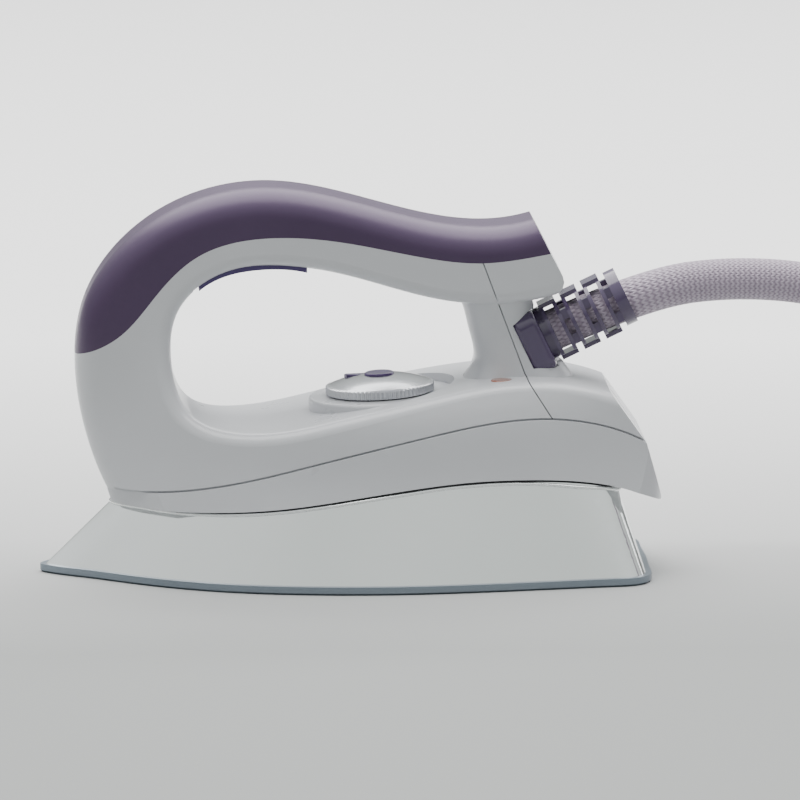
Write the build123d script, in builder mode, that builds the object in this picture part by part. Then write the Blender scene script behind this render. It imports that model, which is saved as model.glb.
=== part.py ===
"""Steam-station clothes iron: soleplate, chromed skirt, white housing with an open handle loop,
soft-touch handle cover, temperature dial, steam trigger, strain relief, hose and its coil.

Frame: millimetres, +Z up, nose towards -X, the soleplate's underside on Z = 0,
X = 0 midway between the sole's tip and the housing's heel.
"""

from build123d import *
import os
from math import radians, tan

os.makedirs("parts", exist_ok=True)

# ---------------------------------------------------------------- driving dimensions
SOLE_THICK = 3.2
SKIRT_INSET = 2.3  # from the sole's edge to the foot of the skirt
SKIRT_WALL = 1.0
WALL = 4.4  # thick soft-cored mouldings of the handle loop
GROOVE_HIGH, GROOVE_DEEP = 0.8, 1.6
REAR_JOINT = 0.45  # open joint between the upper housing and the rear cover
BAND_PROUD = 0.9  # how far the lower housing stands out beyond the upper one
NOSE_ROUND = 11.0
CREASE_ROUND = 5.0
DIAL_X = 11.5
DIAL_Z = 68.0
DIAL_TILT = 3.0
DIAL_R = 20.75
RELIEF_TILT = 25.5  # rise of the strain relief, degrees
HOSE_R = 8.0
COIL_X, COIL_Y = 338.0, 52.0

# The sole's outline, as (x, half-width), nose to stern.
SOLE_SIDE = [(-118.5, 0.0), (-115.6, 5.2), (-110.0, 9.9), (-102.0, 15.2), (-85.0, 28.0),
             (-68.0, 39.0), (-51.0, 47.0), (-34.0, 52.0), (-14.0, 55.2), (16.0, 56.4), (45.0, 53.6),
             (75.0, 48.7), (98.0, 45.0), (107.0, 42.6), (111.8, 37.0), (113.2, 24.0), (113.6, 0.0)]
SKIRT_TOP = [(-80.5, 0.0), (-79.4, 5.4), (-76.4, 9.8), (-72.0, 14.0), (-63.0, 21.5),
             (-52.5, 29.2), (-41.0, 35.4), (-28.0, 39.8), (-12.0, 42.8), (14.0, 43.7), (40.0, 41.4),
             (68.0, 37.2), (88.0, 33.0), (95.0, 30.0), (99.0, 24.0), (100.8, 14.0), (101.2, 0.0)]
BAND_PLAN = [(-93.6, 0.0), (-93.0, 5.0), (-90.6, 10.4), (-86.5, 15.4), (-80.0, 21.0), (-66.0, 33.0),
             (-30.0, 52.0), (20.0, 56.0), (70.0, 48.0), (98.0, 35.6), (110.0, 28.6), (115.8, 22.0),
             (118.4, 12.0), (118.6, 0.0)]
CASTING = [(-96.0, 0.0), (-92.0, 6.0), (-80.0, 15.0), (-60.0, 27.0), (-35.0, 36.0), (0.0, 41.0),
           (35.0, 40.0), (62.0, 36.0), (80.0, 30.0), (88.0, 18.0), (90.0, 0.0)]

# Side view lines, as (x, z).
CREST = [(-93.5, 34.5), (-104.6, 73.7), (-101.2, 105.6), (-72.7, 138.1), (-31.6, 148.9),
         (11.5, 140.4), (49.6, 133.4), (69.0, 136.0)]
WINDOW = [(77.0, 107.5), (55.0, 104.2), (36.3, 105.5), (-7.6, 117.0), (-24.8, 119.5),
          (-47.7, 117.3), (-66.0, 102.0), (-68.6, 84.0), (-61.0, 63.5), (-42.0, 58.2), (-8.0, 63.4),
          (19.0, 69.2), (62.0, 76.0), (98.0, 71.0)]
GROOVE = [(111.5, 52.0), (76.0, 62.3), (20.0, 55.5), (-19.0, 46.0), (-60.0, 36.0), (-93.5, 34.5)]
FOOT = [(118.5, 28.2), (97.0, 36.9), (65.0, 40.4), (42.0, 40.2), (19.0, 37.9), (-7.6, 33.9),
        (-36.0, 30.0), (-65.0, 28.0), (-91.5, 28.6)]
CORE_OUT = [(-91.0, 44.0), (-100.0, 73.7), (-96.9, 103.9), (-70.5, 134.2), (-31.6, 144.4),
            (11.0, 136.1), (49.0, 129.0), (66.5, 130.6)]
CORE_IN = [(73.5, 113.0), (55.0, 108.7), (37.0, 109.8), (-6.7, 121.3), (-24.8, 123.9),
           (-50.5, 121.0), (-70.2, 103.5), (-73.1, 84.0), (-64.6, 60.0), (-42.0, 53.6),
           (-8.0, 59.0), (19.0, 64.8), (62.0, 71.5), (92.0, 67.5)]
COVER_LINE = [(-116.0, 84.0), (-105.7, 85.0), (-88.7, 92.8), (-73.6, 109.9), (-58.3, 124.0),
              (-27.7, 130.9), (2.8, 127.8), (33.3, 121.8), (48.6, 120.5), (63.9, 121.9), (86.0, 126.0)]
REAR_LINE = [(48.5, 123.0), (65.7, 77.0), (75.4, 62.0), (79.0, 40.0)]

# Half-widths along X of the base and of the grip; one becomes the other between two heights.
BASE_WIDTHS = [(-125, 6), (-106, 7), (-93, 12), (-85, 16.5), (-75, 21), (-57, 28.5), (-42, 34.5),
               (-27, 38.8), (-10, 41), (10, 41.5), (25, 41), (42, 39), (60, 36), (83, 32), (98, 28),
               (115, 24), (130, 20)]
GRIP_WIDTHS = [(-125, 12), (-106, 14), (-90, 17), (-70, 18.6), (-40, 19.3), (80, 19.3), (130, 19)]
BLEND_LOW, BLEND_HIGH = 58.0, 102.0
DRAFT = 0.15


def between(table, x):
    """Linear reading of a table of (x, value) pairs."""
    for (x0, y0), (x1, y1) in zip(table, table[1:]):
        if x <= x1:
            return y0 + (y1 - y0) * (x - x0) / (x1 - x0)
    return table[-1][1]


def flank(x, z):
    """Half-width of the white body at x, z."""
    share = min(1.0, max(0.0, (BLEND_HIGH - z) / (BLEND_HIGH - BLEND_LOW)))
    share = share * share * (3 - 2 * share)
    grip, base = between(GRIP_WIDTHS, x), between(BASE_WIDTHS, x)
    return grip + (base - grip) * share + max(0.0, BLEND_LOW - z) * DRAFT


def outside(inset):
    """The two solids beyond the body's flanks, each moved towards the middle plane by inset."""
    xs = [-125 + 255 / 16 * k for k in range(17)]
    zs = [20 + 140 / 9 * k for k in range(10)]
    grid = [[Vector(x, -(flank(x, z) - inset), z) for z in zs] for x in xs]
    face = Face.make_surface_from_array_of_points(grid, tol=0.1, min_deg=3, max_deg=5)
    near = Solid.extrude(face, (0, -80, 0))
    return [near, near.mirror(Plane.XZ)]


def ring(side, inset):
    """The closed outline of a half-width list, moved inwards by inset."""
    loop = side + [(x, -y) for x, y in side[-2:0:-1]]
    moved = []
    for k, (x, y) in enumerate(loop):
        xa, ya = loop[k - 1]
        xb, yb = loop[(k + 1) % len(loop)]
        run = ((xb - xa) ** 2 + (yb - ya) ** 2) ** 0.5
        moved.append((x + (yb - ya) / run * inset, y - (xb - xa) / run * inset))
    return moved


# ---------------------------------------------------------------- housing body, before it is split
with BuildPart() as body:
    with BuildSketch(Plane.XZ):
        with BuildLine():
            Spline(*CREST)
            Polyline(CREST[-1], (79.9, 115.2), (80.4, 112.9), (80.0, 110.6), (78.8, 108.6), WINDOW[0])
            Spline(*WINDOW)
            Line(WINDOW[-1], GROOVE[0])
            Spline(*GROOVE)
        make_face()
    extrude(amount=60, both=True)
    add(outside(0), mode=Mode.SUBTRACT)
    crest_edges = [e for e in body.edges() if abs(e.center().Y) > 3 and 250 < e.length < 280]
    fillet(crest_edges, NOSE_ROUND)
    crease_edges = [e for e in body.edges() if abs(e.center().Y) > 3 and 340 < e.length < 375]
    fillet(crease_edges, CREASE_ROUND)

# The post between the grip and the deck, flared where it meets each of them.
with BuildPart() as post:
    for x0, x1, half, z in ((42.0, 86.0, 16.4, 70.0), (44.6, 84.0, 14.8, 76.0), (47.2, 79.0, 13.8, 82.0),
                            (46.2, 73.5, 13.4, 89.0), (44.2, 71.0, 13.4, 97.0), (42.2, 69.6, 14.4, 103.5),
                            (38.0, 71.0, 17.2, 110.0)):
        with BuildSketch(Plane.XY.offset(z)):
            with Locations(((x0 + x1) / 2, 0)):
                RectangleRounded(x1 - x0, 2 * half, min(half, (x1 - x0) / 2) * 0.88)
    loft()

# The round seat of the dial, proud of the deck in front and sunk into it behind.
dial_plane = Plane(origin=(DIAL_X, 0, DIAL_Z), z_dir=Vector(0, 0, 1).rotate(Axis.Y, -DIAL_TILT))
with BuildPart() as seat:
    with BuildSketch(dial_plane.offset(-14)):
        Circle(27.5)
    extrude(amount=14)
    fillet(seat.faces().sort_by(Axis.Z)[-1].edges(), 1.2)
with BuildPart() as seat_clear:
    with BuildSketch(dial_plane):
        Circle(28.6)
    extrude(amount=14)

with BuildPart() as core:
    with BuildSketch(Plane.XZ):
        with BuildLine():
            Spline(*CORE_OUT)
            Polyline(CORE_OUT[-1], (75.6, 114.0), CORE_IN[0])
            Spline(*CORE_IN)
            Polyline(CORE_IN[-1], (100.0, 30.0), (-88.0, 30.0), CORE_OUT[0])
        make_face()
    extrude(amount=60, both=True)
    add(outside(WALL), mode=Mode.SUBTRACT)

with BuildPart() as post_core:
    with BuildSketch(Plane.XY.offset(60)):
        with Locations((66.0, 0)):
            RectangleRounded(26, 19, 6)
    with BuildSketch(Plane.XY.offset(92)):
        with Locations((58.6, 0)):
            RectangleRounded(18.5, 18, 6)
    with BuildSketch(Plane.XY.offset(118)):
        with Locations((55.0, 0)):
            RectangleRounded(18.5, 18, 6)
    loft()

relief_plane = Plane(origin=(72.5, 0, 89.4), z_dir=Vector(1, 0, 0).rotate(Axis.Y, -RELIEF_TILT))
with BuildPart() as relief_bore:
    with BuildSketch(relief_plane.offset(-16)):
        Circle(11.2)
    extrude(amount=30)

with BuildPart() as shell:
    add(body.part)
    add(post.part)
    add(seat_clear.part, mode=Mode.SUBTRACT)
    add(seat.part)
    add(core.part, mode=Mode.SUBTRACT)
    add(post_core.part, mode=Mode.SUBTRACT)
    add(relief_bore.part, mode=Mode.SUBTRACT)
    with BuildSketch(dial_plane.offset(-30)):
        Circle(4.0)
    extrude(amount=60, mode=Mode.SUBTRACT)
    with Locations((56.5, -19.4, 68.0)):
        Cylinder(4.0, 22, mode=Mode.SUBTRACT)
    with BuildSketch(relief_plane.offset(-7.5)):
        RectangleRounded(24.2, 28.6, 5)
    extrude(amount=9.1, mode=Mode.SUBTRACT)
    with BuildSketch(relief_plane.offset(1.5)):
        Circle(12.8)
    extrude(amount=13, mode=Mode.SUBTRACT)

# ---------------------------------------------------------------- the housing's pieces
with BuildPart() as above_cover_line:
    with BuildSketch(Plane.XZ):
        with BuildLine():
            Spline(*COVER_LINE)
            Polyline(COVER_LINE[-1], (86.0, 170.0), (-116.0, 170.0), COVER_LINE[0])
        make_face()
    extrude(amount=60, both=True)

with BuildPart() as behind_rear_line:
    with BuildSketch(Plane.XZ):
        Polygon(*REAR_LINE, (130.0, 40.0), (130.0, 140.0), (48.5, 140.0), align=None)
    extrude(amount=60, both=True)

with BuildPart() as behind_rear_joint:
    with BuildSketch(Plane.XZ):
        Polygon(*[(x + REAR_JOINT, z) for x, z in REAR_LINE], (130.0, 40.0), (130.0, 140.0),
                (48.9, 140.0), align=None)
    extrude(amount=60, both=True)

# The joint is open at the skin only: inside it the two mouldings butt together.
with BuildPart() as joint_strip:
    add(behind_rear_line.part)
    add(behind_rear_joint.part, mode=Mode.SUBTRACT)
    with Locations((60.0, 0, 82.0)):
        Box(60.0, 23.8, 44.0, mode=Mode.SUBTRACT)
    with Locations((60.0, 0, 124.0)):
        Box(60.0, 35.2, 40.0, mode=Mode.SUBTRACT)

# The shadow groove that runs round the housing just above the lower band.
with BuildPart() as groove_slab:
    with BuildSketch(Plane.XZ):
        with BuildLine():
            Spline(*GROOVE)
            Line(GROOVE[-1], (GROOVE[-1][0], GROOVE[-1][1] + GROOVE_HIGH))
            Spline(*[(x, z + GROOVE_HIGH) for x, z in GROOVE[::-1]])
            Line((GROOVE[0][0], GROOVE[0][1] + GROOVE_HIGH), GROOVE[0])
        make_face()
    extrude(amount=60, both=True)
groove_cuts = [groove_slab.part & cutter for cutter in outside(GROOVE_DEEP)]

with BuildPart() as trigger_slot:
    with Locations((-38.4, 0, 115.0)):
        Box(43.6, 31.8, 20.0)
    with Locations((-38.4, 0, 119.0)):
        Box(43.6, 22.8, 20.0)

with BuildPart() as trigger_pin:
    with BuildSketch(Plane.XZ.offset(-16.4)):
        with Locations((-12.0, 127.5)):
            Circle(1.5)
    extrude(amount=32.8)
trigger_pin.part.label = "trigger_pin"
export_step(trigger_pin.part, "parts/trigger_pin.step")

with BuildPart() as upper_housing:
    add(shell.part)
    add(above_cover_line.part, mode=Mode.SUBTRACT)
    add(behind_rear_line.part, mode=Mode.SUBTRACT)
    add(trigger_slot.part, mode=Mode.SUBTRACT)
    add(trigger_pin.part, mode=Mode.SUBTRACT)
    add(groove_cuts, mode=Mode.SUBTRACT)
upper_housing.part.label = "upper_housing"
export_step(upper_housing.part, "parts/upper_housing.step")

with BuildPart() as rear_cover:
    add(shell.part)
    add(behind_rear_line.part, mode=Mode.INTERSECT)
    add(joint_strip.part, mode=Mode.SUBTRACT)
    add(above_cover_line.part, mode=Mode.SUBTRACT)
    add(groove_cuts, mode=Mode.SUBTRACT)
rear_cover.part.label = "rear_cover"
export_step(rear_cover.part, "parts/rear_cover.step")

with BuildPart() as handle_cover:
    add(shell.part)
    add(above_cover_line.part, mode=Mode.INTERSECT)
    with Locations((-46.0, 0, 141.0)):
        Cylinder(4.5, 8.0)
handle_cover.part.label = "handle_cover"
export_step(handle_cover.part, "parts/handle_cover.step")

# Lower housing: the band that stands a little proud of the upper one, with a floor.
with BuildPart() as lower_housing:
    with BuildSketch(Plane.XZ):
        with BuildLine():
            Spline(*GROOVE)
            Line(GROOVE[-1], FOOT[-1])
            Spline(*FOOT)
            Line(FOOT[0], GROOVE[0])
        make_face()
    extrude(amount=60, both=True)
    add(outside(-BAND_PROUD), mode=Mode.SUBTRACT)
    with BuildSketch():
        with BuildLine():
            Spline(*BAND_PLAN, *[(x, -y) for x, y in BAND_PLAN[-2:0:-1]], periodic=True)
        make_face()
    extrude(amount=90, mode=Mode.INTERSECT)
    with BuildSketch(Plane.XZ):
        with BuildLine():
            Spline(*[(x, z + 2.6) for x, z in FOOT[1:-1]])
            Polyline((-65.0, 30.6), (-81.0, 31.6), (-81.0, 75.0), (102.0, 75.0), (102.0, 38.6), (97.0, 39.5))
        make_face()
    inner = extrude(amount=37.5, both=True, mode=Mode.PRIVATE)
    for cutter in outside(3.0):
        inner = inner - cutter
    add(inner, mode=Mode.SUBTRACT)
    with Locations((13.4, 0, 40.0)):
        Cylinder(7.0, 12.0, mode=Mode.SUBTRACT)
    with Locations((30.0, -18.0, 40.0)):
        Cylinder(4.2, 12.0, mode=Mode.SUBTRACT)
    with Locations((-60.0, 0, 30.0), (45.0, 22.0, 40.0), (78.0, -20.0, 40.0)):
        Cylinder(2.1, 12.0, mode=Mode.SUBTRACT)
lower_housing.part.label = "lower_housing"
export_step(lower_housing.part, "parts/lower_housing.step")

# ---------------------------------------------------------------- sole, skirt and heater
with BuildPart() as soleplate:
    with BuildSketch():
        with BuildLine():
            Spline(*ring(SOLE_SIDE, 0), periodic=True)
        make_face()
    extrude(amount=SOLE_THICK)
    chamfer(soleplate.faces().sort_by(Axis.Z)[0].outer_wire().edges(), 0.8)
    with BuildSketch():
        with Locations(*[(-100 + 15 * k, side * (6 + 6.1 * k - 0.42 * k * k))
                         for k in range(10) for side in (-1, 1)]):
            Circle(1.4)
    extrude(amount=SOLE_THICK, mode=Mode.SUBTRACT)
soleplate.part.label = "soleplate"
export_step(soleplate.part, "parts/soleplate.step")


with BuildPart() as skirt_outer:
    with BuildSketch(Plane.XY.offset(SOLE_THICK)):
        with BuildLine():
            Spline(*ring(SOLE_SIDE, SKIRT_INSET), periodic=True)
        make_face()
    with BuildSketch(Plane.XY.offset(44.0)):
        with BuildLine():
            Spline(*[(xt + (xt - xb) * 0.17, yt + (yt - yb) * 0.17) for (xt, yt), (xb, yb) in
                     zip(ring(SKIRT_TOP, 0), ring(SOLE_SIDE, SKIRT_INSET))], periodic=True)
        make_face()
    loft(ruled=True)

with BuildPart() as skirt_inner:
    with BuildSketch(Plane.XY.offset(SOLE_THICK)):
        with BuildLine():
            Spline(*ring(SOLE_SIDE, SKIRT_INSET + SKIRT_WALL), periodic=True)
        make_face()
    with BuildSketch(Plane.XY.offset(44.0)):
        with BuildLine():
            Spline(*[(xt + (xt - xb) * 0.17, yt + (yt - yb) * 0.17) for (xt, yt), (xb, yb) in
                     zip(ring(SKIRT_TOP, SKIRT_WALL), ring(SOLE_SIDE, SKIRT_INSET + SKIRT_WALL))],
                   periodic=True)
        make_face()
    loft(ruled=True)

with BuildPart() as above_skirt:
    with BuildSketch(Plane.XZ):
        with BuildLine():
            Spline(*[(x, z - 1.0) for x, z in FOOT])
            Polyline((-91.5, 27.6), (-125.0, 27.6), (-125.0, 60.0), (125.0, 60.0), (125.0, 27.2), (118.5, 27.2))
        make_face()
    extrude(amount=70, both=True)

with BuildPart() as skirt:
    add(skirt_outer.part)
    add(skirt_inner.part, mode=Mode.SUBTRACT)
    add(above_skirt.part, mode=Mode.SUBTRACT)
skirt.part.label = "skirt"
export_step(skirt.part, "parts/skirt.step")

# A soft seal fills the joint between the skirt's top edge and the lower housing.
with BuildPart() as skirt_seal:
    with BuildSketch(Plane.XZ):
        with BuildLine():
            Spline(*[(x, z - 1.0) for x, z in FOOT[1:-1]])
            Line((-65.0, 27.0), (-65.0, 28.0))
            Spline(*[(x, z) for x, z in FOOT[-2:0:-1]])
            Line((97.0, 36.9), (97.0, 35.9))
        make_face()
    extrude(amount=60, both=True)
    add(skirt_inner.part, mode=Mode.INTERSECT)
    with Locations((14.5, 0, 34.0)):
        Box(159.0, 56.0, 24.0, mode=Mode.SUBTRACT)
    add(lower_housing.part, mode=Mode.SUBTRACT)
skirt_seal.part.label = "skirt_seal"
export_step(skirt_seal.part, "parts/skirt_seal.step")

with BuildPart() as heating_element:
    with BuildLine():
        FilletPolyline((102, -15, 10), (40, -28, 10), (-30, -22, 10), (-76, 0, 10), (-30, 22, 10),
                       (40, 28, 10), (102, 15, 10), radius=12)
    with BuildSketch(Plane(origin=(102, -15, 10), z_dir=(-62, -13, 0))):
        Circle(3.4)
    sweep()
heating_element.part.label = "heating_element"
export_step(heating_element.part, "parts/heating_element.step")

with BuildPart() as heater_casting:
    with BuildSketch(Plane.XY.offset(SOLE_THICK)):
        with BuildLine():
            Spline(*CASTING, *[(x, -y) for x, y in CASTING[-2:0:-1]], periodic=True)
        make_face()
    extrude(amount=11.8)
    with BuildSketch(Plane.XY.offset(8.0)):
        with Locations((4.0, 0)):
            RectangleRounded(74, 26, 9)
    extrude(amount=7.0, mode=Mode.SUBTRACT)
    add(heating_element.part, mode=Mode.SUBTRACT)
heater_casting.part.label = "heater_casting"
export_step(heater_casting.part, "parts/heater_casting.step")

with BuildPart() as chamber_cover:
    with BuildSketch(Plane.XY.offset(15.0)):
        with Locations((4.0, 0)):
            RectangleRounded(164, 52, 22)
    extrude(amount=1.4)
    with Locations((30.0, -18.0, 15.7)):
        Cylinder(3.0, 3.0, mode=Mode.SUBTRACT)
chamber_cover.part.label = "chamber_cover"
export_step(chamber_cover.part, "parts/chamber_cover.step")

with BuildPart() as spacers:
    for x, y, top in ((-60.0, 0.0, 27.9), (45.0, 22.0, 40.0), (78.0, -20.0, 39.2)):
        with Locations((x, y, 16.4)):
            Cylinder(5.0, top - 16.4, align=(Align.CENTER, Align.CENTER, Align.MIN))
            Cylinder(2.1, top - 16.4, align=(Align.CENTER, Align.CENTER, Align.MIN), mode=Mode.SUBTRACT)
spacers.part.label = "spacers"
export_step(spacers.part, "parts/spacers.step")

with BuildPart() as spacer_screws:
    for x, y, top in ((-60.0, 0.0, 31.2), (45.0, 22.0, 43.2), (78.0, -20.0, 42.6)):
        with Locations((x, y, 17.0)):
            Cylinder(2.0, top - 17.0, align=(Align.CENTER, Align.CENTER, Align.MIN))
        with Locations((x, y, top)):
            Cylinder(3.6, 2.4, align=(Align.CENTER, Align.CENTER, Align.MIN))
            Box(5.0, 0.9, 1.0, align=(Align.CENTER, Align.CENTER, Align.MIN), mode=Mode.PRIVATE)
spacer_screws.part.label = "spacer_screws"
export_step(spacer_screws.part, "parts/spacer_screws.step")

with BuildPart() as thermal_fuse:
    with BuildSketch(Plane.YZ.offset(-42.0)):
        with Locations((12.0, 18.9)):
            Circle(2.5)
    extrude(amount=22.0)
    with BuildSketch(Plane.YZ.offset(-54.0)):
        with Locations((12.0, 18.9)):
            Circle(0.8)
    extrude(amount=46.0)
thermal_fuse.part.label = "thermal_fuse"
export_step(thermal_fuse.part, "parts/thermal_fuse.step")

# ---------------------------------------------------------------- thermostat and dial
with BuildPart() as thermostat:
    with Locations((13.4, 0, 16.4)):
        Cylinder(11.0, 9.0, align=(Align.CENTER, Align.CENTER, Align.MIN))
    with Locations((13.4, 0, 25.4)):
        Cylinder(6.0, 6.0, align=(Align.CENTER, Align.CENTER, Align.MIN))
thermostat.part.label = "thermostat"
export_step(thermostat.part, "parts/thermostat.step")

with BuildPart() as dial_spindle:
    with BuildSketch(dial_plane.offset(-36.0)):
        Circle(3.0)
    extrude(amount=38.0)
dial_spindle.part.label = "dial_spindle"
export_step(dial_spindle.part, "parts/dial_spindle.step")

with BuildPart() as pointer_shape:
    with BuildSketch(dial_plane.offset(5.2)):
        Circle(5.75)
    extrude(amount=2.8)
    with BuildSketch(dial_plane.offset(5.2)):
        with BuildLine():
            Polyline((2.0, -3.4), (-12.4, 3.2), (-13.2, 5.0), (-12.4, 6.6), (1.0, 4.6), (2.0, -3.4))
        make_face()
    extrude(amount=1.7)
    fillet(pointer_shape.faces().sort_by(Axis.Z)[-1].edges(), 0.9)
pointer_shape.part.label = "dial_pointer"
export_step(pointer_shape.part, "parts/dial_pointer.step")

with BuildPart() as knob_blank:
    with BuildSketch(Plane.XZ):
        with BuildLine():
            Polyline((0, 0.6), (DIAL_R - 0.5, 0.6), (DIAL_R, 1.1), (DIAL_R, 4.0), (DIAL_R - 0.6, 4.5),
                     (DIAL_R - 2.0, 4.6))
            ThreePointArc((DIAL_R - 2.0, 4.6), (11.0, 6.5), (0, 7.4))
            Line((0, 7.4), (0, 0.6))
        make_face()
    revolve(axis=Axis.Z)
    with BuildSketch(Plane.XY):
        Circle(3.0)
    extrude(amount=2.0, mode=Mode.SUBTRACT)

with BuildPart() as dial_knob:
    add(knob_blank.part.moved(dial_plane.location))
    add(pointer_shape.part, mode=Mode.SUBTRACT)
dial_knob.part.label = "dial_knob"
export_step(dial_knob.part, "parts/dial_knob.step")

# ---------------------------------------------------------------- steam trigger and its switch
with BuildPart() as steam_trigger:
    with BuildSketch(Plane.XZ):
        with BuildLine():
            Spline((-58.0, 110.2), (-47.7, 115.8), (-36.0, 118.0), (-24.8, 118.1), (-17.0, 116.9))
            Line((-17.0, 116.9), (-17.0, 121.1))
            Spline((-17.0, 121.1), (-24.8, 122.3), (-36.0, 122.2), (-47.7, 120.0), (-58.0, 114.4))
            Line((-58.0, 114.4), (-58.0, 110.2))
        make_face()
    extrude(amount=15.5, both=True)
    with BuildSketch(Plane.XZ):
        Polygon((-55.0, 114.0), (-36.0, 120.0), (-17.0, 119.0), (-17.0, 125.2), (-52.0, 125.2),
                (-55.0, 121.0), align=None)
    extrude(amount=11.0, both=True)
    with Locations((-17.0, 0, 126.5)):
        Box(10.0, 10.0, 5.0)
    with BuildSketch(Plane.XZ.offset(-5.0)):
        with Locations((-12.0, 127.5)):
            Circle(3.3)
    extrude(amount=10.0)
    with BuildSketch(Plane.XZ.offset(-8.0)):
        with Locations((-12.0, 127.5)):
            Circle(1.55)
    extrude(amount=16.0, mode=Mode.SUBTRACT)
steam_trigger.part.label = "steam_trigger"
export_step(steam_trigger.part, "parts/steam_trigger.step")

with BuildPart() as trigger_spring:
    with BuildLine():
        Helix(pitch=2.0, height=10.6, radius=3.1, center=(-46.0, 0, 125.8))
    with BuildSketch(Plane(origin=(-42.9, 0, 125.8), z_dir=(0, 1, 0.1))):
        Circle(0.45)
    sweep(is_frenet=True)
trigger_spring.part.label = "trigger_spring"
export_step(trigger_spring.part, "parts/trigger_spring.step")

with BuildPart() as switch_button:
    with Locations((-36.0, 0, 125.25)):
        Cylinder(1.2, 4.2, align=(Align.CENTER, Align.CENTER, Align.MIN))
switch_button.part.label = "switch_button"
export_step(switch_button.part, "parts/switch_button.step")

with BuildPart() as microswitch:
    with Locations((-32.0, 0, 128.6)):
        Box(15.0, 6.4, 7.4, align=(Align.CENTER, Align.CENTER, Align.MIN))
    with Locations((-36.0, 0, 128.6)):
        Cylinder(1.25, 3.2, align=(Align.CENTER, Align.CENTER, Align.MIN), mode=Mode.SUBTRACT)
microswitch.part.label = "microswitch"
export_step(microswitch.part, "parts/microswitch.step")

with BuildPart() as switch_bracket:
    with Locations((-32.0, 0, 136.0)):
        Box(16.0, 28.6, 1.4, align=(Align.CENTER, Align.CENTER, Align.MIN))
switch_bracket.part.label = "switch_bracket"
export_step(switch_bracket.part, "parts/switch_bracket.step")

# ---------------------------------------------------------------- lamp, terminals, steam tube
with BuildPart() as indicator_lens:
    with Locations((56.5, -19.4, 66.0)):
        Cylinder(3.95, 9.9, align=(Align.CENTER, Align.CENTER, Align.MIN))
    fillet(indicator_lens.faces().sort_by(Axis.Z)[-1].edges(), 0.6)
indicator_lens.part.label = "indicator_lens"
export_step(indicator_lens.part, "parts/indicator_lens.step")

with BuildPart() as neon_lamp:
    with Locations((56.5, -19.4, 57.0)):
        Cylinder(2.6, 9.0, align=(Align.CENTER, Align.CENTER, Align.MIN))
neon_lamp.part.label = "neon_lamp"
export_step(neon_lamp.part, "parts/neon_lamp.step")

with BuildPart() as terminal_screws:
    with Locations(*[(68.0, y, 47.0) for y in (-10.0, 0.0, 10.0)]):
        Cylinder(1.6, 6.4, align=(Align.CENTER, Align.CENTER, Align.MIN))
terminal_screws.part.label = "terminal_screws"
export_step(terminal_screws.part, "parts/terminal_screws.step")

with BuildPart() as terminal_block:
    with Locations((66.0, 0, 43.2)):
        Box(16.0, 32.0, 9.4, align=(Align.CENTER, Align.CENTER, Align.MIN))
    add(terminal_screws.part, mode=Mode.SUBTRACT)
terminal_block.part.label = "terminal_block"
export_step(terminal_block.part, "parts/terminal_block.step")

with BuildPart() as steam_inlet:
    with Locations((30.0, -18.0, 16.4)):
        Cylinder(4.0, 15.6, align=(Align.CENTER, Align.CENTER, Align.MIN))
        Cylinder(2.9, 15.6, align=(Align.CENTER, Align.CENTER, Align.MIN), mode=Mode.SUBTRACT)
steam_inlet.part.label = "steam_inlet"
export_step(steam_inlet.part, "parts/steam_inlet.step")

with BuildPart() as steam_tube:
    with BuildLine():
        FilletPolyline((30, -18, 20), (30, -18, 52), (60, -3, 57), (60, 0, 79), radius=7)
    with BuildSketch(Plane.XY.offset(20)):
        with Locations((30, -18)):
            Circle(2.85)
            Circle(1.7, mode=Mode.SUBTRACT)
    sweep()
steam_tube.part.label = "steam_tube"
export_step(steam_tube.part, "parts/steam_tube.step")

# ---------------------------------------------------------------- strain relief, hose and coil
with BuildPart() as strain_relief:
    with BuildSketch(relief_plane.offset(-7.5)):
        RectangleRounded(24, 28.4, 5)
    extrude(amount=9.0)
    fillet(strain_relief.faces().sort_by(Axis.X)[-1].edges(), 1.8)
    with BuildSketch(relief_plane.offset(1.5)):
        Circle(10.4)
    extrude(amount=2.7)
    for k in range(3):
        start = 4.2 + 9.2 * k
        for foot in (start, start + 5.3):
            with BuildSketch(relief_plane.offset(foot)):
                Circle(11.6)
            extrude(amount=1.5)
        with BuildSketch(relief_plane.offset(start)):
            with Locations((10.7, 0), (-10.7, 0)):
                Rectangle(1.7, 10)
        extrude(amount=6.8)
        with BuildSketch(relief_plane.offset(start + 6.8)):
            with Locations((5.2, 8.9), (-5.2, 8.9), (5.2, -8.9), (-5.2, -8.9)):
                Rectangle(4, 2.4)
        extrude(amount=2.4)
    with BuildSketch(relief_plane.offset(31.8)):
        Circle(11.2)
    extrude(amount=4.5)
    with BuildSketch(relief_plane.offset(-8.0)):
        Circle(8.2)
    extrude(amount=16.0, mode=Mode.SUBTRACT)
    with BuildSketch(relief_plane.offset(4.0)):
        Circle(9.1)
    extrude(amount=36.0, mode=Mode.SUBTRACT)
strain_relief.part.label = "strain_relief"
export_step(strain_relief.part, "parts/strain_relief.step")

with BuildPart() as cord_clamp:
    with BuildSketch(relief_plane.offset(-11.5)):
        Circle(11.0)
        Circle(HOSE_R + 0.1, mode=Mode.SUBTRACT)
        Rectangle(24, 1.0, mode=Mode.SUBTRACT)
    extrude(amount=3.8)
cord_clamp.part.label = "cord_clamp"
export_step(cord_clamp.part, "parts/cord_clamp.step")

HOSE_ROUTE = [(61.0, 0.0, 83.9), (109.0, 0.0, 106.8), (151.0, 0.0, 112.0), (193.0, -1.0, 106.0),
              (226.0, -7.0, 80.0), (244.0, -16.0, 47.0), (271.0, -29.0, 20.0), (309.0, -36.0, 8.2),
              (338.0, -36.0, 8.2)]


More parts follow.
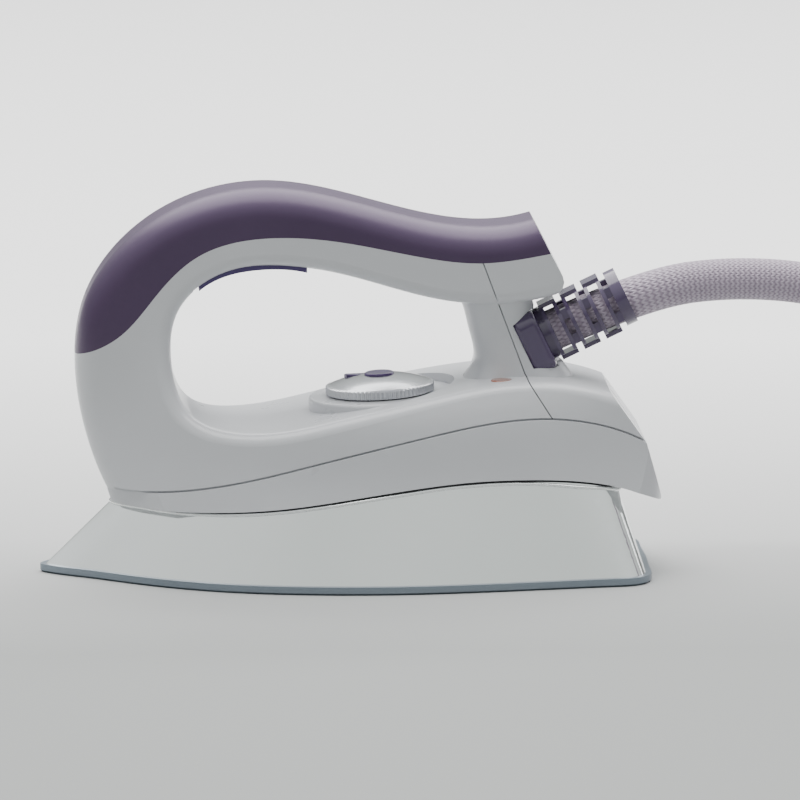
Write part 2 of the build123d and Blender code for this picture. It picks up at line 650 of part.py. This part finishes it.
def bend_radii(route):
    """Bend radius at each corner: as large as 0.45 of the shorter run allows."""
    radii = []
    for a, b, c in zip(route, route[1:], route[2:]):
        before, after = Vector(*b) - Vector(*a), Vector(*c) - Vector(*b)
        half = radians(before.get_angle(after)) / 2
        radii.append(0.45 * min(before.length, after.length) / tan(half))
    return radii


print("hose bends", [round(r) for r in bend_radii(HOSE_ROUTE)])
with BuildPart() as hose:
    with BuildLine() as hose_line:
        FilletPolyline(*HOSE_ROUTE, radius=bend_radii(HOSE_ROUTE))
    with BuildSketch(Plane(origin=HOSE_ROUTE[0], z_dir=Vector(*HOSE_ROUTE[1]) - Vector(*HOSE_ROUTE[0]))):
        Circle(HOSE_R)
    sweep()
print("hose length", sum(e.length for e in hose_line.edges()))
hose.part.label = "hose"
export_step(hose.part, "parts/hose.step")

coil_axis = Axis((COIL_X, COIL_Y, 0), (0, 0, 1))
with BuildPart() as coil_tie:
    with BuildSketch(Plane(origin=(COIL_X, COIL_Y, 0), x_dir=(0.866, 0.5, 0), z_dir=(0.5, -0.866, 0)).offset(-9)):
        with Locations((80.0, 8.7)):
            RectangleRounded(36.0, 17.4, 6.0)
            RectangleRounded(34.0, 15.4, 5.2, mode=Mode.SUBTRACT)
    extrude(amount=18.0)
coil_tie.part.label = "coil_tie"
export_step(coil_tie.part, "parts/coil_tie.step")

with BuildPart() as hose_coil:
    with BuildSketch(Plane(origin=(COIL_X, COIL_Y, 0), x_dir=(0, -1, 0), z_dir=(-1, 0, 0))):
        with Locations((80.0, 8.2)):
            RectangleRounded(32.0, 16.0, 7.4)
    revolve(axis=coil_axis, revolution_arc=315.0)
    with BuildSketch(Plane(origin=(COIL_X, COIL_Y, 0), x_dir=(0.174, -0.985, 0), z_dir=(-0.985, -0.174, 0))):
        with Locations((78.0, 23.9)):
            Circle(HOSE_R)
    revolve(axis=coil_axis, revolution_arc=200.0)
    add(coil_tie.part, mode=Mode.SUBTRACT)
hose_coil.part.label = "hose_coil"
export_step(hose_coil.part, "parts/hose_coil.step")
print("coil", hose_coil.part.volume, len(hose_coil.solids()), hose_coil.part.bounding_box())

# Plug of the hose: three contact pins and a steam nipple in a moulded body.
plug_plane = Plane(origin=(COIL_X - 39.0, COIL_Y + 67.5, 27.6), x_dir=(0, 0, 1), z_dir=(-0.866, -0.5, 0))
with BuildPart() as plug_pins:
    with BuildSketch(plug_plane.offset(34.0)):
        with Locations((5.5, 0), (0, 5.5), (0, -5.5)):
            Circle(1.5)
    extrude(amount=27.0)
plug_pins.part.label = "plug_pins"
export_step(plug_pins.part, "parts/plug_pins.step")

with BuildPart() as plug_nipple:
    with BuildSketch(plug_plane.offset(32.0)):
        with Locations((-6.0, 0)):
            Circle(2.4)
            Circle(1.3, mode=Mode.SUBTRACT)
    extrude(amount=27.0)
plug_nipple.part.label = "plug_nipple"
export_step(plug_nipple.part, "parts/plug_nipple.step")

with BuildPart() as hose_plug:
    with BuildSketch(plug_plane.offset(2.0)):
        Circle(9.8)
    extrude(amount=14.0)
    with BuildSketch(plug_plane.offset(16.0)):
        Circle(11.5)
    extrude(amount=32.0)
    add(plug_pins.part, mode=Mode.SUBTRACT)
    with BuildSketch(plug_plane.offset(32.0)):
        with Locations((-6.0, 0)):
            Circle(2.4)
    extrude(amount=20.0, mode=Mode.SUBTRACT)
hose_plug.part.label = "hose_plug"
export_step(hose_plug.part, "parts/hose_plug.step")
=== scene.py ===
import bpy
import math
from math import cos, pi, radians, sin
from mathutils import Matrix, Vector


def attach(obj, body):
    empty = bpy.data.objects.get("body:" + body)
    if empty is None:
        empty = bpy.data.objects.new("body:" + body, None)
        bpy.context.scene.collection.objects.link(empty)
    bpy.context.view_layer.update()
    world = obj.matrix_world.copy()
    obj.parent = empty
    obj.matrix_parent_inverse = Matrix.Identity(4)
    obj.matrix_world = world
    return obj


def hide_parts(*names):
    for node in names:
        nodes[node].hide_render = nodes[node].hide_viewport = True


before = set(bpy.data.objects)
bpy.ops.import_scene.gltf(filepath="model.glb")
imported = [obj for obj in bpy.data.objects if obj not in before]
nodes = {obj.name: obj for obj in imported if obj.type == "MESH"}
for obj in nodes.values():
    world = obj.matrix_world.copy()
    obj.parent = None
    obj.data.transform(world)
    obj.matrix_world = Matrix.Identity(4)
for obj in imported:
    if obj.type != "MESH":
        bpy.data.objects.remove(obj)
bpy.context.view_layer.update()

# ---- Stand and camera
# The iron stands on a pale studio sweep, seen from its near side, slightly from the nose and
# a little from above, through a long lens.
bpy.ops.object.select_all(action="DESELECT")
bpy.ops.mesh.primitive_plane_add(size=9.0, location=(0.0, 1.5, 0.0))
floor = bpy.context.object
floor.name = "studio_floor"
floor_paint = bpy.data.materials.new("studio_floor")
floor_paint.use_nodes = True
nt = floor_paint.node_tree
shade = nt.nodes["Principled BSDF"]
shade.inputs["Roughness"].default_value = 0.75
# The floor's colour is painted grey near the camera and white behind the iron: painted shade standing in for
# the light falling off across the sweep.
where = nt.nodes.new("ShaderNodeTexCoord")
split = nt.nodes.new("ShaderNodeSeparateXYZ")
painted_shade_ramp = nt.nodes.new("ShaderNodeMapRange")
painted_shade_ramp.inputs["From Min"].default_value = -1.66
painted_shade_ramp.inputs["From Max"].default_value = -0.98
tone = nt.nodes.new("ShaderNodeMix")
tone.data_type = "RGBA"
tone.inputs[6].default_value = (0.30, 0.31, 0.305, 1)
tone.inputs[7].default_value = (0.98, 0.98, 0.98, 1)
nt.links.new(where.outputs["Object"], split.inputs[0])
nt.links.new(split.outputs["Y"], painted_shade_ramp.inputs["Value"])
nt.links.new(painted_shade_ramp.outputs["Result"], tone.inputs[0])
nt.links.new(tone.outputs[2], shade.inputs["Base Color"])
floor.data.materials.append(floor_paint)

target = (0.0191, 0.0, 0.0649)
turn, lift, reach = radians(3.2), radians(10.0), 3.5
lens = bpy.data.cameras.new("camera")
camera = bpy.data.objects.new("camera", lens)
bpy.context.collection.objects.link(camera)
camera.location = (target[0] - reach * sin(turn) * cos(lift), target[1] - reach * cos(turn) * cos(lift),
                   target[2] + reach * sin(lift))
camera.rotation_euler = (radians(90) - lift, 0.0, -turn)
seen_width, sensor = 0.3054, 36.0
lens.sensor_width = sensor
lens.lens = sensor * reach / seen_width
bpy.context.scene.camera = camera

# ---- Studio light
# A broad soft box overhead does most of the work; weak boxes in front and behind open the shadows,
# and the surround brightens upwards so that the chrome has something even to mirror.
for name, place, size, power, tint, mirrored in (
        ("top_box", (0.0, 0.6, 2.2), 3.2, 165.0, (1.0, 0.995, 0.985), True),
        ("front_box", (-0.8, -2.2, 1.1), 1.8, 7.0, (0.97, 0.98, 1.0), False),
        ("rear_box", (1.3, 1.2, 0.7), 0.9, 5.0, (0.98, 0.98, 1.0), True)):
    lamp = bpy.data.lights.new(name, "AREA")
    lamp.size = size
    lamp.energy = power
    lamp.color = tint
    holder = bpy.data.objects.new(name, lamp)
    bpy.context.collection.objects.link(holder)
    holder.location = place
    holder.rotation_euler = (Vector((0, 0, 0.06)) - Vector(place)).to_track_quat("-Z", "Y").to_euler()
    holder.visible_glossy = mirrored
world = bpy.data.worlds.new("surround")
bpy.context.scene.world = world
world.use_nodes = True
sky = world.node_tree
around = sky.nodes.new("ShaderNodeTexCoord")
upward = sky.nodes.new("ShaderNodeSeparateXYZ")
rise = sky.nodes.new("ShaderNodeValToRGB")
rise.color_ramp.elements[0].position = 0.0
rise.color_ramp.elements[0].color = (0.16, 0.165, 0.17, 1)
rise.color_ramp.elements[1].position = 0.75
rise.color_ramp.elements[1].color = (0.90, 0.92, 0.94, 1)
middle = rise.color_ramp.elements.new(0.36)
middle.color = (0.60, 0.63, 0.62, 1)
sky.links.new(around.outputs["Generated"], upward.inputs[0])
sky.links.new(upward.outputs["Z"], rise.inputs[0])
sky.links.new(rise.outputs[0], sky.nodes["Background"].inputs["Color"])
seen_in_gloss = sky.nodes.new("ShaderNodeLightPath")
strength = sky.nodes.new("ShaderNodeMath")
strength.operation = "MULTIPLY_ADD"
plain_strength, added_in_gloss = 0.60, 0.85
strength.inputs[1].default_value = added_in_gloss
strength.inputs[2].default_value = plain_strength
sky.links.new(seen_in_gloss.outputs["Is Glossy Ray"], strength.inputs[0])
sky.links.new(strength.outputs[0], sky.nodes["Background"].inputs["Strength"])

# ---- Hose and its put-away coil
# A steam and power hose in a knitted sleeve, 16 mm across: out of the strain relief, over in one
# bow, down to the floor and into a neat coil that ends in the plug.
coil_x, coil_y = 0.338, 0.052
route = [(0.061, 0.0, 0.0839), (0.109, 0.0, 0.1068), (0.151, 0.0, 0.112), (0.193, -0.001, 0.106),
         (0.226, -0.007, 0.080), (0.244, -0.016, 0.047), (0.271, -0.029, 0.020), (0.309, -0.036, 0.0082),
         (0.338, -0.036, 0.0082)]
for step in range(1, 38):
    angle = -90 + 25 * step
    if angle <= 180:
        radius, height = 88.0, 8.2
    elif angle <= 245:
        radius, height = 88.0 - 16.4 * (angle - 180) / 65, 8.2
    elif angle <= 490:
        radius, height = 71.6, 8.2
    elif angle <= 565:
        radius, height = 71.6 + 7.0 * (angle - 490) / 75, 8.2 + 15.7 * (angle - 490) / 75
    else:
        radius, height = 78.6, 23.9
    radius *= 1.012
    route.append((coil_x + 0.001 * radius * cos(radians(angle)),
                  coil_y + 0.001 * radius * sin(radians(angle)), 0.001 * height))
route[-1] = (0.2995, 0.1198, 0.0262)

hose_line = bpy.data.curves.new("steam_hose", "CURVE")
hose_line.dimensions = "3D"
run = hose_line.splines.new("NURBS")
run.points.add(len(route) - 1)
for point, place in zip(run.points, route):
    point.co = (*place, 1.0)
run.order_u = 3
run.use_endpoint_u = True
hose_line.bevel_depth = 0.008
hose_line.bevel_resolution = 8
hose_line.resolution_u = 10
hose_line.use_fill_caps = True
steam_hose = bpy.data.objects.new("steam_hose", hose_line)
bpy.context.collection.objects.link(steam_hose)

knit = bpy.data.materials.new("knitted_sleeve")
knit.use_nodes = True
nt = knit.node_tree
shade = nt.nodes["Principled BSDF"]
place = nt.nodes.new("ShaderNodeUVMap")
split = nt.nodes.new("ShaderNodeSeparateXYZ")
nt.links.new(place.outputs["UV"], split.inputs[0])


def sum_node(tree, kind, a, b=None, c=None):
    """A maths node of that kind fed by links or numbers."""
    node = tree.nodes.new("ShaderNodeMath")
    node.operation = kind
    for socket, value in zip(node.inputs, (a, b, c)):
        if value is None:
            continue
        if isinstance(value, (int, float)):
            socket.default_value = value
        else:
            tree.links.new(value, socket)
    return node.outputs[0]


ALONG, ROUND = split.outputs["X"], split.outputs["Y"]
WALES, HOSE_MM, STITCH_MM = 26.0, 1640.0, 1.7
wale = sum_node(nt, "PINGPONG", sum_node(nt, "MULTIPLY", ROUND, WALES), 0.5)
stitch = sum_node(nt, "MULTIPLY", ALONG, HOSE_MM / STITCH_MM)
slant = sum_node(nt, "ADD", stitch, sum_node(nt, "MULTIPLY", wale, 0.8))
loop_high = sum_node(nt, "SINE", sum_node(nt, "MULTIPLY", slant, 2 * pi))
rib_high = sum_node(nt, "SINE", sum_node(nt, "MULTIPLY", wale, 2 * pi))
yarn = sum_node(nt, "MULTIPLY_ADD", loop_high, 0.32, 0.5)
yarn = sum_node(nt, "MULTIPLY_ADD", rib_high, 0.18, yarn)
fuzz = nt.nodes.new("ShaderNodeTexNoise")
fuzz.inputs["Scale"].default_value = 900.0
fuzz.inputs["Detail"].default_value = 3.0
spot = nt.nodes.new("ShaderNodeTexCoord")
nt.links.new(spot.outputs["Object"], fuzz.inputs["Vector"])
mixed = sum_node(nt, "MULTIPLY_ADD", fuzz.outputs[0], 0.25, yarn)
# Yarn colour, painted darker where the yarn dips between loops and ribs: painted shade in the gaps between
# strands, over the yarn's own violet.
yarn_colour_and_gap_shade = nt.nodes.new("ShaderNodeValToRGB")
yarn_colour_and_gap_shade.color_ramp.elements[0].position = 0.25
yarn_colour_and_gap_shade.color_ramp.elements[0].color = (0.25, 0.19, 0.26, 1)
yarn_colour_and_gap_shade.color_ramp.elements[1].position = 0.95
yarn_colour_and_gap_shade.color_ramp.elements[1].color = (0.54, 0.46, 0.56, 1)
nt.links.new(mixed, yarn_colour_and_gap_shade.inputs[0])
nt.links.new(yarn_colour_and_gap_shade.outputs[0], shade.inputs["Base Color"])
shade.inputs["Roughness"].default_value = 0.62
shade.inputs["Sheen Weight"].default_value = 0.35
raised = nt.nodes.new("ShaderNodeBump")
raised.inputs["Strength"].default_value = 0.8
raised.inputs["Distance"].default_value = 0.0008
nt.links.new(mixed, raised.inputs["Height"])
nt.links.new(raised.outputs[0], shade.inputs["Normal"])
hose_line.materials.append(knit)
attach(steam_hose, "iron")
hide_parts("hose", "hose_coil")

# ---- Moulding grain shared by the plastics
# Injection-moulded parts carry a fine spark-eroded grain and slow changes of gloss from handling.
grain = bpy.data.node_groups.new("moulding_grain", "ShaderNodeTree")
grain.interface.new_socket("Fineness", in_out="INPUT", socket_type="NodeSocketFloat")
grain.interface.new_socket("Colour", in_out="INPUT", socket_type="NodeSocketColor")
grain.interface.new_socket("Worn Colour", in_out="INPUT", socket_type="NodeSocketColor")
grain.interface.new_socket("Gloss Low", in_out="INPUT", socket_type="NodeSocketFloat")
grain.interface.new_socket("Gloss High", in_out="INPUT", socket_type="NodeSocketFloat")
grain.interface.new_socket("Colour", in_out="OUTPUT", socket_type="NodeSocketColor")
grain.interface.new_socket("Roughness", in_out="OUTPUT", socket_type="NodeSocketFloat")
grain.interface.new_socket("Height", in_out="OUTPUT", socket_type="NodeSocketFloat")
inlet = grain.nodes.new("NodeGroupInput")
outlet = grain.nodes.new("NodeGroupOutput")
spot = grain.nodes.new("ShaderNodeTexCoord")
fine = grain.nodes.new("ShaderNodeTexNoise")
fine.inputs["Detail"].default_value = 4.0
slow = grain.nodes.new("ShaderNodeTexNoise")
slow.inputs["Scale"].default_value = 22.0
slow.inputs["Detail"].default_value = 5.0
slow.inputs["Roughness"].default_value = 0.62
grain.links.new(spot.outputs["Object"], fine.inputs["Vector"])
grain.links.new(spot.outputs["Object"], slow.inputs["Vector"])
grain.links.new(inlet.outputs["Fineness"], fine.inputs["Scale"])
blend_tone = grain.nodes.new("ShaderNodeMix")
blend_tone.data_type = "RGBA"
grain.links.new(slow.outputs[0], blend_tone.inputs[0])
grain.links.new(inlet.outputs["Colour"], blend_tone.inputs[6])
grain.links.new(inlet.outputs["Worn Colour"], blend_tone.inputs[7])
gloss = grain.nodes.new("ShaderNodeMapRange")
gloss.inputs["From Min"].default_value = 0.3
gloss.inputs["From Max"].default_value = 0.7
grain.links.new(slow.outputs[0], gloss.inputs["Value"])
grain.links.new(inlet.outputs["Gloss Low"], gloss.inputs["To Min"])
grain.links.new(inlet.outputs["Gloss High"], gloss.inputs["To Max"])
grain.links.new(blend_tone.outputs[2], outlet.inputs["Colour"])
grain.links.new(gloss.outputs["Result"], outlet.inputs["Roughness"])
grain.links.new(fine.outputs[0], outlet.inputs["Height"])


def moulded(name, colour, worn, rough_low, rough_high, fineness=1400.0, depth=0.12, metallic=0.0,
             lacquer=0.0):
    """A grained material in the given colours, with its own shader."""
    made = bpy.data.materials.new(name)
    made.use_nodes = True
    tree = made.node_tree
    body = tree.nodes["Principled BSDF"]
    body.inputs["Metallic"].default_value = metallic
    body.inputs["Coat Weight"].default_value = lacquer
    skin = tree.nodes.new("ShaderNodeGroup")
    skin.node_tree = grain
    skin.inputs["Fineness"].default_value = fineness
    skin.inputs[1].default_value = (*colour, 1)
    skin.inputs[2].default_value = (*worn, 1)
    skin.inputs["Gloss Low"].default_value = rough_low
    skin.inputs["Gloss High"].default_value = rough_high
    relief = tree.nodes.new("ShaderNodeBump")
    relief.inputs["Strength"].default_value = depth
    relief.inputs["Distance"].default_value = 0.0004
    tree.links.new(skin.outputs["Colour"], body.inputs["Base Color"])
    tree.links.new(skin.outputs["Roughness"], body.inputs["Roughness"])
    tree.links.new(skin.outputs["Height"], relief.inputs["Height"])
    tree.links.new(relief.outputs[0], body.inputs["Normal"])
    return made


def coat(made, *names):
    """Puts a material on CAD nodes."""
    for name in names:
        nodes[name].data.materials.clear()
        nodes[name].data.materials.append(made)


# ---- White housing
# Upper housing, lower band and rear cover: satin white moulded plastic, screwed together.
white = moulded("white_housing", (0.58, 0.59, 0.61), (0.61, 0.62, 0.64), 0.26, 0.36, depth=0.04,
                 lacquer=0.15)
coat(white, "upper_housing", "lower_housing", "rear_cover")

# ---- Handle cover
# Violet soft-touch lacquered shell over the top of the handle, snapped onto the white half.
violet = moulded("violet_cover", (0.052, 0.027, 0.070), (0.072, 0.041, 0.095), 0.34, 0.44, 2600.0, 0.10, 0.20,
                  lacquer=0.12)
violet.node_tree.nodes["Principled BSDF"].inputs["Coat Roughness"].default_value = 0.35
coat(violet, "handle_cover")

# ---- Steam trigger
# A violet rocker let into the underside of the grip on a steel pin, with its spring and switch.
coat(moulded("trigger_violet", (0.05, 0.03, 0.12), (0.07, 0.045, 0.15), 0.25, 0.35, depth=0.05),
     "steam_trigger")
steel = moulded("plain_steel", (0.55, 0.55, 0.56), (0.62, 0.62, 0.63), 0.25, 0.42, 2200.0, 0.1, 1.0)
coat(steel, "trigger_pin", "trigger_spring", "spacer_screws", "thermostat", "thermal_fuse",
     "heating_element")
black = moulded("black_plastic", (0.02, 0.02, 0.022), (0.035, 0.035, 0.038), 0.4, 0.55)
coat(black, "microswitch", "switch_button", "switch_bracket", "terminal_block", "cord_clamp",
     "skirt_seal", "steam_tube", "hose_plug", "coil_tie")

# ---- Soleplate
# Ground and hard-coated aluminium, blue-grey at its bevelled edge, with steam holes.
coat(moulded("sole_metal", (0.20, 0.235, 0.275), (0.26, 0.30, 0.34), 0.28, 0.42, 1800.0, 0.12, 0.85),
     "soleplate")

# ---- Skirt
# Deep-drawn chromed steel between the sole and the housing.
chrome = moulded("chrome_skirt", (0.78, 0.80, 0.79), (0.83, 0.85, 0.84), 0.06, 0.10, 900.0, 0.015, 1.0)
coat(chrome, "skirt")

# ---- Skirt rim
# The skirt's top edge is rolled over into a small round bead, just under the white band.
# Its outlines are in mm.
foot_line = [(118.5, 28.2), (97.0, 36.9), (65.0, 40.4), (42.0, 40.2), (19.0, 37.9), (-7.6, 33.9),
             (-36.0, 30.0), (-65.0, 28.0), (-95.0, 28.8)]
skirt_foot = [(-116.2, 0.0), (-113.4, 4.2), (-108.5, 8.1), (-100.7, 13.3), (-83.6, 26.2), (-66.9, 37.0),
              (-50.1, 44.8), (-33.6, 49.8), (-13.9, 52.9), (15.9, 54.1), (44.7, 51.3), (74.6, 46.4),
              (97.4, 42.8), (105.5, 40.9), (109.6, 36.0), (110.9, 23.9), (111.3, 0.0)]
skirt_head = [(-80.5, 0.0), (-79.4, 5.4), (-76.4, 9.8), (-72.0, 14.0), (-63.0, 21.5), (-52.5, 29.2),
              (-41.0, 35.4), (-28.0, 39.8), (-12.0, 42.8), (14.0, 43.7), (40.0, 41.4), (68.0, 37.2),
              (88.0, 33.0), (95.0, 30.0), (99.0, 24.0), (100.8, 14.0), (101.2, 0.0)]
rim_points = []
for (xb, yb), (xt, yt) in zip(skirt_foot, skirt_head):
    share = 0.8
    for _ in range(30):
        x = xb + (xt - xb) * share
        for (x1, z1), (x0, z0) in zip(foot_line, foot_line[1:]):
            if x0 <= x <= x1:
                break
        level = z0 + (z1 - z0) * (x - x0) / (x1 - x0) - 1.5
        share = (level - 3.2) / 34.8
    rim_points.append((xb + (xt - xb) * share, yb + (yt - yb) * share, level))
rim_points += [(x, -y, z) for x, y, z in rim_points[-2:0:-1]]
rim_line = bpy.data.curves.new("skirt_rim", "CURVE")
rim_line.dimensions = "3D"
bead = rim_line.splines.new("BEZIER")
bead.bezier_points.add(len(rim_points) - 1)
for point, (x, y, z) in zip(bead.bezier_points, rim_points):
    point.co = (0.001 * x, 0.001 * y, 0.001 * z)
    point.handle_left_type = point.handle_right_type = "AUTO"
bead.use_cyclic_u = True
rim_line.bevel_depth = 0.0007
rim_line.bevel_resolution = 4
rim_line.resolution_u = 12
skirt_rim = bpy.data.objects.new("skirt_rim", rim_line)
bpy.context.collection.objects.link(skirt_rim)
rim_line.materials.append(chrome)
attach(skirt_rim, "iron")

# ---- Heater and fittings inside
# Cast aluminium heater with its cover, ceramic spacers, brass steam fitting and terminals.
coat(moulded("cast_aluminium", (0.42, 0.42, 0.43), (0.5, 0.5, 0.5), 0.5, 0.65, 700.0, 0.4, 1.0),
     "heater_casting", "chamber_cover")
coat(moulded("ceramic", (0.7, 0.67, 0.6), (0.76, 0.73, 0.66), 0.5, 0.6), "spacers")
brass = moulded("brass", (0.62, 0.46, 0.2), (0.7, 0.53, 0.26), 0.25, 0.4, 1500.0, 0.1, 1.0)
coat(brass, "steam_inlet", "terminal_screws", "dial_spindle", "plug_pins", "plug_nipple")

# ---- Indicator lamp
# A small amber lens in the deck beside the post, with a neon lamp under it.
lens_amber = moulded("amber_lens", (0.30, 0.10, 0.06), (0.36, 0.14, 0.08), 0.12, 0.2, depth=0.02,
                      lacquer=0.6)
coat(lens_amber, "indicator_lens")
coat(moulded("lamp_glass", (0.8, 0.6, 0.5), (0.85, 0.66, 0.56), 0.08, 0.12), "neon_lamp")

# ---- Strain relief
# Glossy violet elastomer ladder moulded around the hose where it leaves the post.
relief_gloss = moulded("relief_violet", (0.055, 0.035, 0.085), (0.08, 0.055, 0.12), 0.12, 0.2, depth=0.03,
                        lacquer=0.5)
coat(relief_gloss, "strain_relief")

# ---- Dial
# A silver satin crown inside a clear knurled rim, moulded in one and pressed on the thermostat's
# spindle, with a violet pointer inlaid in it.
bpy.ops.object.select_all(action="DESELECT")
DIAL_X, KNURL_POINTS = 0.0115, 228
bpy.ops.mesh.primitive_cylinder_add(vertices=KNURL_POINTS, radius=0.02010, depth=0.0028,
                                    location=(0, 0, 0.0020))
dial = bpy.context.object
dial.name = "knurled_dial"
bpy.ops.object.transform_apply(location=True)
bpy.ops.object.mode_set(mode="EDIT")
bpy.ops.mesh.select_all(action="DESELECT")
bpy.ops.mesh.select_mode(type="FACE")
bpy.ops.object.mode_set(mode="OBJECT")
for face in dial.data.polygons:
    face.select = face.normal.z > 0.9
bpy.ops.object.mode_set(mode="EDIT")
for inset, rise_by in ((0.0006, 0.0004), (0.0006, 0.0002), (0.0024, 0.0009), (0.0030, 0.0009),
                       (0.0036, 0.0008), (0.0040, 0.0005), (0.0034, 0.0001)):
    bpy.ops.mesh.inset(thickness=inset, depth=0.0)
    bpy.ops.transform.translate(value=(0, 0, rise_by))
bpy.ops.mesh.select_all(action="DESELECT")
bpy.ops.mesh.select_mode(type="VERT")
bpy.ops.object.mode_set(mode="OBJECT")
for vertex in dial.data.vertices:
    reach_out = (vertex.co.x**2 + vertex.co.y**2) ** 0.5
    step_round = round(math.atan2(vertex.co.y, vertex.co.x) / (2 * pi) * KNURL_POINTS) % 3
    vertex.select = reach_out > 0.0200 and step_round == 0
bpy.ops.object.mode_set(mode="EDIT")
bpy.ops.transform.resize(value=(1.03, 1.03, 1.0))
bpy.ops.object.mode_set(mode="OBJECT")
dial.rotation_euler = (0, -radians(3.0), 0)
dial.location = (DIAL_X, 0.0, 0.068)
bpy.ops.object.select_all(action="DESELECT")
dial.select_set(True)
bpy.context.view_layer.objects.active = dial
bpy.ops.object.transform_apply(location=True, rotation=True)
bpy.ops.object.shade_smooth_by_angle(angle=radians(24))
silver = moulded("dial_silver", (0.34, 0.35, 0.37), (0.44, 0.45, 0.47), 0.18, 0.27, 900.0, 0.03, 0.85,
                  lacquer=0.6)
clear = moulded("dial_clear_rim", (0.50, 0.51, 0.54), (0.60, 0.61, 0.64), 0.06, 0.11, 900.0, 0.02, 0.45,
                 lacquer=0.9)
dial.data.materials.append(silver)
dial.data.materials.append(clear)
for face in dial.data.polygons:
    out = ((face.center.x - DIAL_X) ** 2 + face.center.y**2) ** 0.5
    face.material_index = 1 if out > 0.0184 else 0
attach(dial, "dial")
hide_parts("dial_knob")
coat(silver, "dial_knob")
coat(moulded("pointer_violet", (0.05, 0.02, 0.11), (0.07, 0.03, 0.15), 0.2, 0.28, depth=0.03), "dial_pointer")
